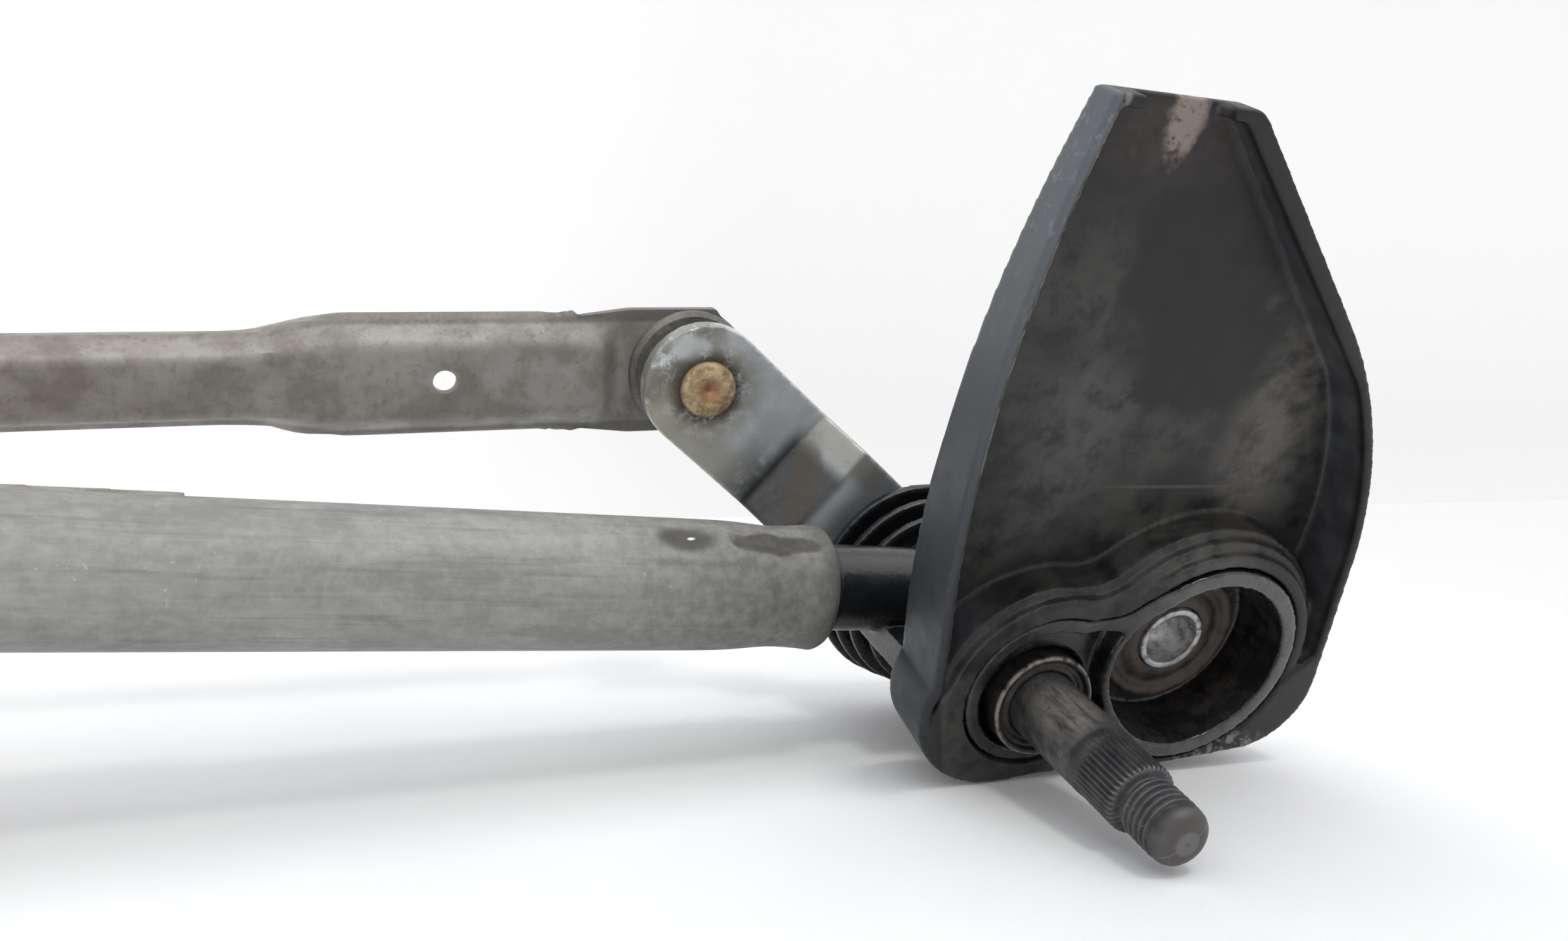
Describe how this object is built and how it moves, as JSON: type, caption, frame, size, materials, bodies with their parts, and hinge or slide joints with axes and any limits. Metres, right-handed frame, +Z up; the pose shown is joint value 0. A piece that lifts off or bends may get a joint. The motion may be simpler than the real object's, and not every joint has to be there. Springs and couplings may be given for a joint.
{
  "type": "windscreen wiper linkage pivot end",
  "caption": "Wiper linkage pivot end: frame tube, cast pivot housing with sealing dish, splined spindle, crank lever and drive link.",
  "frame": {"origin": "on the spindle's axis, at the middle of the knurled wiper-arm seat", "axes": "+Z up as the assembly lies on a bench, +X along the frame tube towards the dish, -Y towards the spindle's tip side; the spindle slopes down 13.8 degrees towards its tip"},
  "size_m": [0.3203, 0.1169, 0.1081],
  "materials": {
    "galvanised_steel": "mottled dull galvanised",
    "passivated_steel": "dull brown-grey passivated",
    "black_casting": "gloss black painted casting",
    "sintered_bronze": "oiled sintered bronze",
    "black_plastic": "satin black, dusty",
    "brown_black_rubber": "brown-black rubber",
    "bright_sleeve": "bright rolled sleeve",
    "seal_rubber": "black rubber",
    "dark_steel": "dark phosphated steel",
    "dark_cap": "dark satin",
    "spring_steel": "spring steel",
    "washer_steel": "plain steel",
    "zinc_plate": "bright zinc plate with a yellow tint",
    "yellow_zinc": "yellow passivated zinc",
    "socket_plastic": "dull grey-brown acetal"
  },
  "bodies": {
    "root": {"frame_tube": "galvanised_steel", "motor_bracket": "passivated_steel", "pivot_housing": "black_casting", "front_bush": "sintered_bronze", "rear_bush": "sintered_bronze", "sealing_dish": "black_plastic", "mount_grommet": "brown_black_rubber", "mount_sleeve": "bright_sleeve", "shaft_seal": "seal_rubber"},
    "spindle": {"spindle": "dark_steel", "dust_cap": "dark_cap", "retaining_clip": "spring_steel", "front_washer": "washer_steel", "rear_washer": "washer_steel", "wave_washer": "spring_steel", "crank_lever": "zinc_plate", "ball_stud": "yellow_zinc"},
    "link": {"drive_link": "passivated_steel", "ball_socket": "socket_plastic", "socket_seal": "seal_rubber", "far_socket": "socket_plastic", "far_seal": "seal_rubber"}
  },
  "joints": [
    {"name": "spindle_turn", "type": "hinge", "parent": "root", "child": "spindle", "pos_m": [0, 0, 0], "axis": [0, 0.9711, 0.2385], "range_deg": [-4, 100]},
    {"name": "link_swing", "type": "hinge", "parent": "spindle", "child": "link", "pos_m": [-0.04375, 0.08667, 0.05777], "axis": [0, 0.9711, 0.2385], "range_deg": [-102, 6]}
  ],
  "couplings": [
    {"joint": "link_swing", "follows": "spindle_turn", "ratio": -1}
  ]
}
